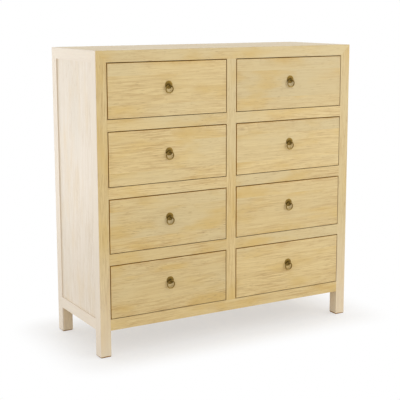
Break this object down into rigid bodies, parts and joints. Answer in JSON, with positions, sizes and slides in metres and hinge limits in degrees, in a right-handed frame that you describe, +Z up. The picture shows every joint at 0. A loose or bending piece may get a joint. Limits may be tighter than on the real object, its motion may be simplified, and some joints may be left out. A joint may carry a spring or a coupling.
{
  "type": "chest of drawers",
  "caption": "Floor-standing timber chest: square post-and-rail frame with recessed side panels, flush drawers on wooden runners, and ring pulls on domed backplates.",
  "frame": {"origin": "on the floor, under the centre of the bounding box, pulls included", "axes": "+X to the right seen from the front, +Y to the back so that the front faces -Y, +Z up"},
  "size_m": [1.195, 0.4466, 1.2],
  "materials": {
    "frame_timber": "pale straight-grained timber, clear satin finish",
    "panel_timber": "pale panel boards, clear satin finish",
    "front_timber": "pale figured drawer fronts, clear satin finish",
    "inner_timber": "plain sanded timber inside the chest and drawers",
    "aged_brass": "brass darkened with age, worn brighter on high spots"
  },
  "bodies": {
    "carcass": {"back_centre_stile": "frame_timber", "back_left_post": "frame_timber", "back_panels": "panel_timber", "back_right_post": "frame_timber", "bottom_back_rail": "frame_timber", "bottom_front_rail": "frame_timber", "bottom_left_rail": "frame_timber", "bottom_right_rail": "frame_timber", "drawer_guides": "inner_timber", "drawer_rail_left_1": "frame_timber", "drawer_rail_left_2": "frame_timber", "drawer_rail_left_3": "frame_timber", "drawer_rail_right_1": "frame_timber", "drawer_rail_right_2": "frame_timber", "drawer_rail_right_3": "frame_timber", "drawer_runners": "inner_timber", "drawer_stops": "inner_timber", "front_centre_stile": "frame_timber", "front_left_post": "frame_timber", "front_right_post": "frame_timber", "left_side_panel": "panel_timber", "right_side_panel": "panel_timber", "top_back_rail": "frame_timber", "top_front_rail": "frame_timber", "top_kickers": "inner_timber", "top_left_rail": "frame_timber", "top_panel": "panel_timber", "top_right_rail": "frame_timber"},
    "drawer_left_1": {"drawer_left_1_front": "front_timber", "drawer_left_1_box": "inner_timber", "drawer_left_1_pull": "aged_brass"},
    "ring_left_1": {"drawer_left_1_ring": "aged_brass"},
    "drawer_left_2": {"drawer_left_2_front": "front_timber", "drawer_left_2_box": "inner_timber", "drawer_left_2_pull": "aged_brass"},
    "ring_left_2": {"drawer_left_2_ring": "aged_brass"},
    "drawer_left_3": {"drawer_left_3_front": "front_timber", "drawer_left_3_box": "inner_timber", "drawer_left_3_pull": "aged_brass"},
    "ring_left_3": {"drawer_left_3_ring": "aged_brass"},
    "drawer_left_4": {"drawer_left_4_front": "front_timber", "drawer_left_4_box": "inner_timber", "drawer_left_4_pull": "aged_brass"},
    "ring_left_4": {"drawer_left_4_ring": "aged_brass"},
    "drawer_right_1": {"drawer_right_1_front": "front_timber", "drawer_right_1_box": "inner_timber", "drawer_right_1_pull": "aged_brass"},
    "ring_right_1": {"drawer_right_1_ring": "aged_brass"},
    "drawer_right_2": {"drawer_right_2_front": "front_timber", "drawer_right_2_box": "inner_timber", "drawer_right_2_pull": "aged_brass"},
    "ring_right_2": {"drawer_right_2_ring": "aged_brass"},
    "drawer_right_3": {"drawer_right_3_front": "front_timber", "drawer_right_3_box": "inner_timber", "drawer_right_3_pull": "aged_brass"},
    "ring_right_3": {"drawer_right_3_ring": "aged_brass"},
    "drawer_right_4": {"drawer_right_4_front": "front_timber", "drawer_right_4_box": "inner_timber", "drawer_right_4_pull": "aged_brass"},
    "ring_right_4": {"drawer_right_4_ring": "aged_brass"}
  },
  "joints": [
    {"name": "slide_left_1", "type": "slide", "parent": "carcass", "child": "drawer_left_1", "axis": [0, -1, 0], "range_m": [0, 0.3]},
    {"name": "swing_left_1", "type": "hinge", "parent": "drawer_left_1", "child": "ring_left_1", "pos_m": [-0.2875, -0.21895, 1.0615], "axis": [-1, 0, 0], "range_deg": [-8, 188]},
    {"name": "slide_left_2", "type": "slide", "parent": "carcass", "child": "drawer_left_2", "axis": [0, -1, 0], "range_m": [0, 0.3]},
    {"name": "swing_left_2", "type": "hinge", "parent": "drawer_left_2", "child": "ring_left_2", "pos_m": [-0.2875, -0.21895, 0.7995], "axis": [-1, 0, 0], "range_deg": [-8, 188]},
    {"name": "slide_left_3", "type": "slide", "parent": "carcass", "child": "drawer_left_3", "axis": [0, -1, 0], "range_m": [0, 0.3]},
    {"name": "swing_left_3", "type": "hinge", "parent": "drawer_left_3", "child": "ring_left_3", "pos_m": [-0.2875, -0.21895, 0.5375], "axis": [-1, 0, 0], "range_deg": [-8, 188]},
    {"name": "slide_left_4", "type": "slide", "parent": "carcass", "child": "drawer_left_4", "axis": [0, -1, 0], "range_m": [0, 0.3]},
    {"name": "swing_left_4", "type": "hinge", "parent": "drawer_left_4", "child": "ring_left_4", "pos_m": [-0.2875, -0.21895, 0.2755], "axis": [-1, 0, 0], "range_deg": [-8, 188]},
    {"name": "slide_right_1", "type": "slide", "parent": "carcass", "child": "drawer_right_1", "axis": [0, -1, 0], "range_m": [0, 0.3]},
    {"name": "swing_right_1", "type": "hinge", "parent": "drawer_right_1", "child": "ring_right_1", "pos_m": [0.2875, -0.21895, 1.0615], "axis": [-1, 0, 0], "range_deg": [-8, 188]},
    {"name": "slide_right_2", "type": "slide", "parent": "carcass", "child": "drawer_right_2", "axis": [0, -1, 0], "range_m": [0, 0.3]},
    {"name": "swing_right_2", "type": "hinge", "parent": "drawer_right_2", "child": "ring_right_2", "pos_m": [0.2875, -0.21895, 0.7995], "axis": [-1, 0, 0], "range_deg": [-8, 188]},
    {"name": "slide_right_3", "type": "slide", "parent": "carcass", "child": "drawer_right_3", "axis": [0, -1, 0], "range_m": [0, 0.3]},
    {"name": "swing_right_3", "type": "hinge", "parent": "drawer_right_3", "child": "ring_right_3", "pos_m": [0.2875, -0.21895, 0.5375], "axis": [-1, 0, 0], "range_deg": [-8, 188]},
    {"name": "slide_right_4", "type": "slide", "parent": "carcass", "child": "drawer_right_4", "axis": [0, -1, 0], "range_m": [0, 0.3]},
    {"name": "swing_right_4", "type": "hinge", "parent": "drawer_right_4", "child": "ring_right_4", "pos_m": [0.2875, -0.21895, 0.2755], "axis": [-1, 0, 0], "range_deg": [-8, 188]}
  ]
}
